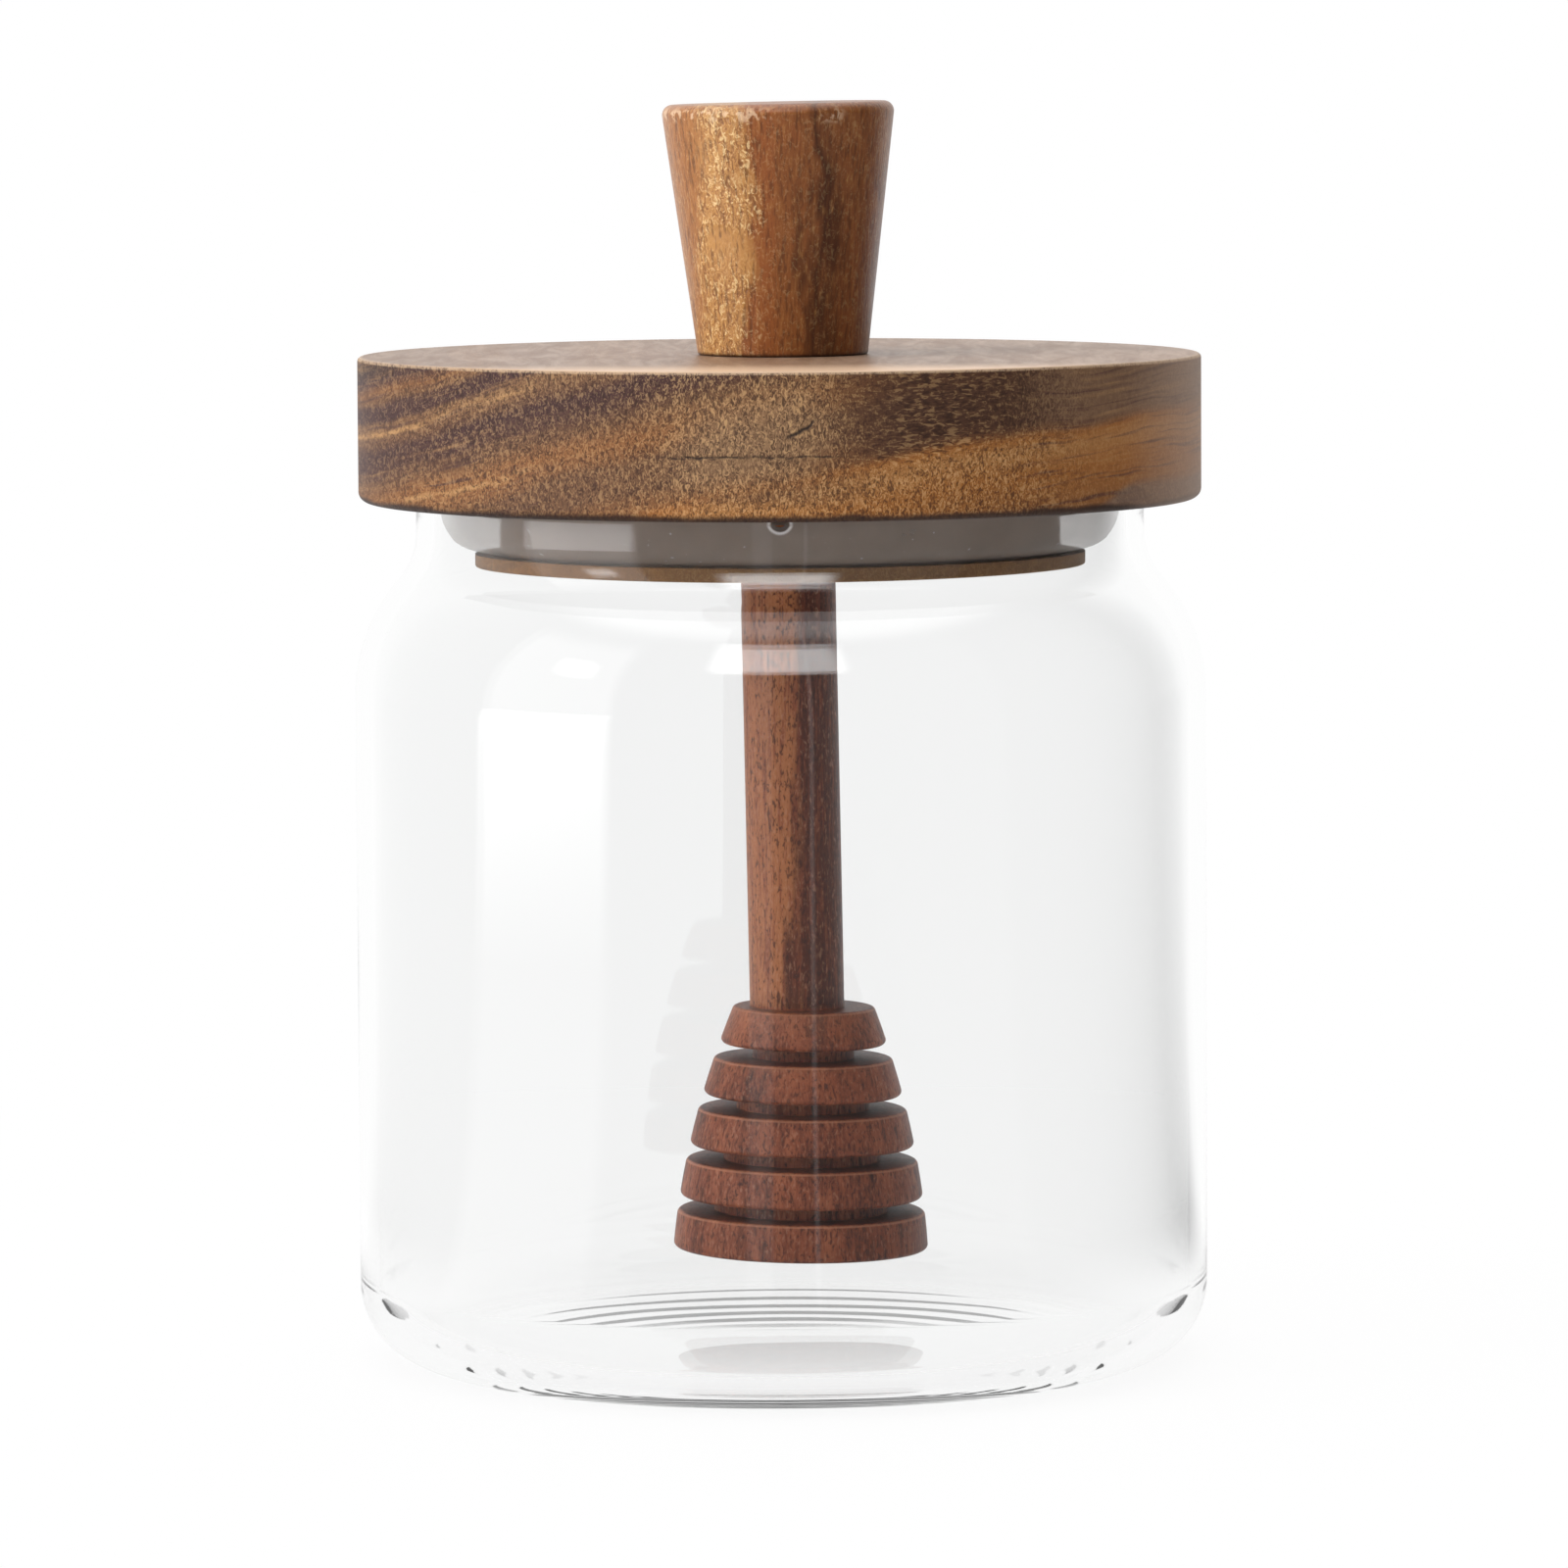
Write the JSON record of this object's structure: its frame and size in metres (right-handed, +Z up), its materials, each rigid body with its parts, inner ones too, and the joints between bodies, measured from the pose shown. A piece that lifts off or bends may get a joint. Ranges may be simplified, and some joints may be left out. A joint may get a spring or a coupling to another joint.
{
  "type": "honey pot",
  "caption": "Empty clear glass honey jar with a thick wooden lid, silicone seal, tapered wooden knob and a wooden dipper hanging from the lid.",
  "frame": {"origin": "centre of the jar's foot, on the surface it stands on; the middle of the underside of the whole part's box", "axes": "+Z up along the jar's axis; the seal's vent notch faces -Y; the knob and dipper lean in the XZ plane, the dipper's head towards +X"},
  "size_m": [0.1, 0.1, 0.1479],
  "materials": {
    "clear_glass": "clear, polished",
    "lid_wood": "dark acacia, turned and lightly oiled",
    "knob_wood": "golden brown acacia, satin",
    "dipper_wood": "reddish brown hardwood, satin",
    "silicone": "translucent silicone, matt"
  },
  "bodies": {
    "root": {"glass_jar": "clear_glass", "lid": "lid_wood", "seal": "silicone", "knob": "knob_wood", "dipper": "dipper_wood"}
  },
  "joints": []
}
